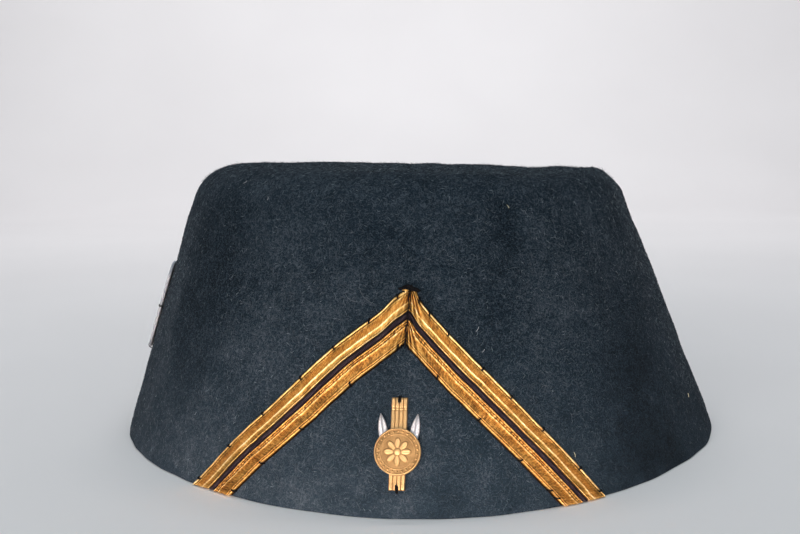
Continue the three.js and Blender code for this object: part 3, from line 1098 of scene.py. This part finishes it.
def strip_form(x, y, lift):
    """A closed strip whose top is a grid of points over a flat back."""
    top = np.stack([x, y, lift], -1)
    back = np.stack([x, y, np.zeros_like(lift)], -1)[:, ::-1]
    return loft(np.concatenate([top, back], 1))


def strip_relief(lift, low, high):
    """How high each point of a strip lies, from 0 to 1, with its back at 0."""
    above = np.clip((lift - low) / (high - low), 0, 1)
    return with_ends(np.concatenate([above, np.zeros_like(above)], 1))


def make_bar(brass, seat):
    reed = BAR_WIDTH / BAR_REEDS
    lanes = np.linspace(-BAR_WIDTH / 2, BAR_WIDTH / 2, 12 * BAR_REEDS + 1)
    lanes = np.sort(np.append(lanes, [-BAR_NOTCH / 2 - 0.02, BAR_NOTCH / 2 + 0.02]))
    notched = np.abs(lanes) <= BAR_NOTCH / 2
    top_end = BAR_UP - BAR_NOTCH * notched
    low_end = -BAR_DOWN + BAR_NOTCH * notched
    steps = np.linspace(0, 1, 110)[:, None]
    y = mixed(low_end, top_end, steps)
    x = np.broadcast_to(lanes, y.shape)
    from_crest = np.abs(np.mod(x + BAR_WIDTH / 2, reed) - reed / 2)
    lift = BAR_THICKNESS - 0.13 * (2 * from_crest / reed) ** 8
    lift = lift - 0.025 * (1 + np.cos(math.tau * (x + BAR_WIDTH / 2) / (reed / 2)))
    for line in (BAR_CROSS_LINE, BAR_CROSS_LINE - 0.55, -BAR_DOWN + 1.6):
        lift = lift - 0.12 * fade(y - line, 0.1)
    to_end = np.minimum(top_end - y, y - low_end)
    lift = lift - 0.22 * fade(to_end, 0.15)
    form = seated(strip_form(x, y, lift), seat)
    thing = make_piece("badge_bar_reeded", form, [brass], "brass", ["badge_bar"], sharp_angle=50)
    add_values(thing, "relief", strip_relief(lift, 0.55, 0.9))


def disc_lift(radius, angle):
    """Height of the disc's face: raised rim, ring of beads, fine ring, petals and a round boss."""
    field = DISC_THICKNESS - 0.27
    rim = np.clip((radius - (DISC_RADIUS - 0.4)) / 0.12, 0, 1)
    rounded = 0.16 * np.clip((radius - (DISC_RADIUS - 0.16)) / 0.16, 0, 1) ** 2
    lift = field + 0.27 * rim - rounded
    bead_circle = DISC_RADIUS - 0.8
    spacing = math.tau / DISC_BEADS
    from_bead = np.abs(np.mod(angle, spacing) - spacing / 2) * bead_circle
    bead = 0.26**2 - from_bead**2 - (radius - bead_circle) ** 2
    lift = lift + 0.85 * np.sqrt(np.maximum(bead, 0))
    lift = lift + 0.06 * fade(radius - 3.85, 0.09)
    petal_wave = np.abs(np.cos(DISC_PETALS / 2 * angle))
    petal_end = 1.5 + 1.65 * petal_wave**0.7
    petal = np.clip((petal_end - radius) / 0.35, 0, 1) * np.clip((radius - 0.75) / 0.3, 0, 1)
    from_vein = np.mod(DISC_PETALS * angle / math.tau + 0.5, 1) - 0.5
    vein = 0.05 * fade(from_vein * radius, 0.16)
    lift = lift + petal * (0.06 + 0.15 * petal_wave - vein)
    return lift + 0.26 * np.sqrt(np.clip(1 - (radius / 0.78) ** 2, 0, 1))


def make_disc(brass, seat):
    place, axes = seat
    raised = place + axes[2] * (BAR_THICKNESS + SEAT_GAP), axes
    radii = np.concatenate([np.linspace(0.06, 3.4, 44), np.linspace(3.45, DISC_RADIUS, 38)])[:, None]
    angles = np.linspace(0, math.tau, 12 * DISC_BEADS, endpoint=False)
    lift = disc_lift(radii, angles)
    face = np.stack([radii * np.cos(angles), radii * np.sin(angles), lift], -1)
    circle = np.stack([np.cos(angles), np.sin(angles), np.zeros(angles.size)], -1)
    back = [circle * DISC_RADIUS + (0, 0, 0.12), circle * (DISC_RADIUS - 0.12), circle * 0.5]
    form = seated(loft(np.concatenate([face, np.array(back)])), raised)
    thing = make_piece("badge_disc_struck", form, [brass], "brass", ["badge_disc"], sharp_angle=60)
    relief = np.clip((lift - 0.6) / 0.28, 0, 1)
    add_values(thing, "relief", with_ends(np.concatenate([relief, np.full((3, angles.size), 0.4)])))


def make_leaf(silver, seat, side):
    step = np.linspace(0, 0.985, 60)[:, None]
    half_width = (1 - step) ** 2 * LEAF_WIDTH / 6 + 2 * step * (1 - step) * 0.75 * LEAF_WIDTH + 0.02
    height = 2 * step * (1 - step) * 0.55 * LEAF_LENGTH + step**2 * LEAF_LENGTH
    share = np.linspace(-1, 1, 25)
    x = share * half_width
    y = np.broadcast_to(height, x.shape)
    slope = LEAF_THICKNESS * (0.55 + 0.3 * (1 - np.abs(share) ** 1.5))
    rib = 0.14 * fade(x, 0.13)
    veins = 0.035 * np.cos(math.tau * (y - 1.1 * np.abs(x)) / 0.75) * (1 - fade(x, 0.2))
    bevel = 0.1 * np.clip((np.abs(share) - 0.85) / 0.15, 0, 1)
    lift = slope + rib + veins - bevel
    angle = math.radians(-side * LEAF_SPLAY)
    points, faces = strip_form(x, y, lift)
    turned = points @ np.array([
        (math.cos(angle), math.sin(angle), 0),
        (-math.sin(angle), math.cos(angle), 0),
        (0, 0, 1),
    ])
    form = seated((turned + (side * LEAF_OUT, LEAF_UP, 0), faces), seat)
    node = "badge_leaf_left" if side < 0 else "badge_leaf_right"
    thing = make_piece(node + "_veined", form, [silver], "white_metal", [node], sharp_angle=45)
    add_values(thing, "relief", strip_relief(lift, 0.35, 0.62))


def plate_ring(inset, lift):
    """The side plate's outline at a lift, set in from its edge, always with equally many points."""
    corner = max(PLATE_CORNER - inset, 0.4)
    reach = PLATE_WIDTH / 2 - inset - corner, PLATE_TALL / 2 - inset - corner
    points = []
    for quarter, (x, y) in enumerate([(1, 1), (-1, 1), (-1, -1), (1, -1)]):
        angles = np.radians(90 * quarter + np.linspace(0, 90, 30))
        points.append(np.c_[x * reach[0] + corner * np.cos(angles), y * reach[1] + corner * np.sin(angles)])
    outline = np.concatenate(points)
    return np.c_[outline, np.full(len(outline), lift)]


def make_side_plate(silver, seat):
    """A plain plate with a raised border and a low dome."""
    insets = np.concatenate([
        np.linspace(6.5, 1.9, 12),
        np.linspace(1.75, 1.0, 6),
        np.linspace(0.9, 0.12, 5),
        [0.03, 0.0],
    ])
    border = np.clip((1.75 - insets) / 0.6, 0, 1)
    border = border**2 * (3 - 2 * border)
    lifts = 0.52 + 0.26 * border + 0.1 * np.clip((insets - 1.9) / 4.6, 0, 1)
    lifts[-2] = 0.7
    lifts[-1] = 0.55
    back = [(0, 0.1), (0.1, 0), (6.5, 0)]
    rings = np.array([plate_ring(*place) for place in [*zip(insets, lifts), *back]])
    form = seated(loft(rings), seat)
    thing = make_piece("side_plate_pressed", form, [silver], "white_metal", ["side_plate"], sharp_angle=50)
    relief = np.append((lifts - 0.5) / 0.3, [0.2, 0.1, 0.1])
    add_values(thing, "relief", with_ends(np.repeat(relief[:, None], rings.shape[1], 1)))


def make_plate_threads(thread, seat):
    """Loops of black thread over the plate's edge, each at a place with the way that it faces."""
    places = [(-7, 0.2, 180), (7, 0.2, 0), (-2.4, -12.75, 270), (2.2, -12.75, 270), (-6.1, -9.6, 215)]
    loops = []
    for x, y, angle in places:
        ahead = np.array([math.cos(math.radians(angle)), math.sin(math.radians(angle))])
        for offset in (-0.16, 0.16):
            aside = np.array([-ahead[1], ahead[0]]) * offset
            reach = np.array([-1.0, -0.92, -0.6, -0.15, 0.22, 0.42, 0.5])
            lift = np.array([0.6, 0.84, 0.92, 0.88, 0.55, 0.1, -0.3])
            path = np.c_[np.array([x, y]) + aside + reach[:, None] * ahead, lift]
            loops.append(seated(tube(path, 0.13), seat))
    make_piece("side_plate_threads", joined(loops), [thread], "dark_braid")


def make_badge_threads(thread, seat):
    """Loops of black thread through the notches in the bar's two ends."""
    forms = []
    for end, side in [(BAR_UP, 1), (-BAR_DOWN, -1)]:
        for offset in (-0.17, 0.16):
            reach = np.array([-1.5, -1.35, -0.9, -0.4, 0.1, 0.45, 0.7])
            lift = np.array([0.25, 0.72, 0.84, 0.66, 0.42, 0.05, -0.5])
            path = np.c_[np.full(7, offset) + 0.08 * reach, end + side * reach, lift]
            forms.append(seated(tube(path, 0.15), seat))
    make_piece("badge_threads", joined(forms), [thread], "dark_braid")


def make_braid(gold, stripe, thread):
    stations = braid_stations()
    for band in BANDS:
        make_band(band, gold if band.slot == "gold_braid" else stripe, stations)
    make_threads(thread)
    make_tuft(gold)


def make_badge(brass, silver, thread):
    seat = wall_seat(BADGE_TURN, BADGE_HEIGHT, BADGE_LEAN)
    make_bar(brass, seat)
    make_disc(brass, seat)
    make_leaf(silver, seat, -1)
    make_leaf(silver, seat, 1)
    make_badge_threads(thread, seat)


make_camera()
make_world()
make_lights(make_sweep())
black_thread = thread_material()
white_metal = metal_material("white_metal_plain", (0.44, 0.45, 0.48), (0.74, 0.75, 0.79), 0.46)
dull_white_metal = metal_material("white_metal_dull", (0.26, 0.28, 0.32), (0.5, 0.54, 0.6), 0.6)
struck_brass = metal_material("struck_brass", (0.145, 0.084, 0.032), (0.44, 0.295, 0.142), 0.48)
make_felt(felt_material())
make_nap()
make_lint()
make_braid(gold_material(), stripe_material(), black_thread)
make_badge(struck_brass, white_metal, black_thread)
plate_seat = wall_seat(PLATE_TURN, PLATE_HEIGHT)
make_side_plate(dull_white_metal, plate_seat)
make_plate_threads(black_thread, plate_seat)
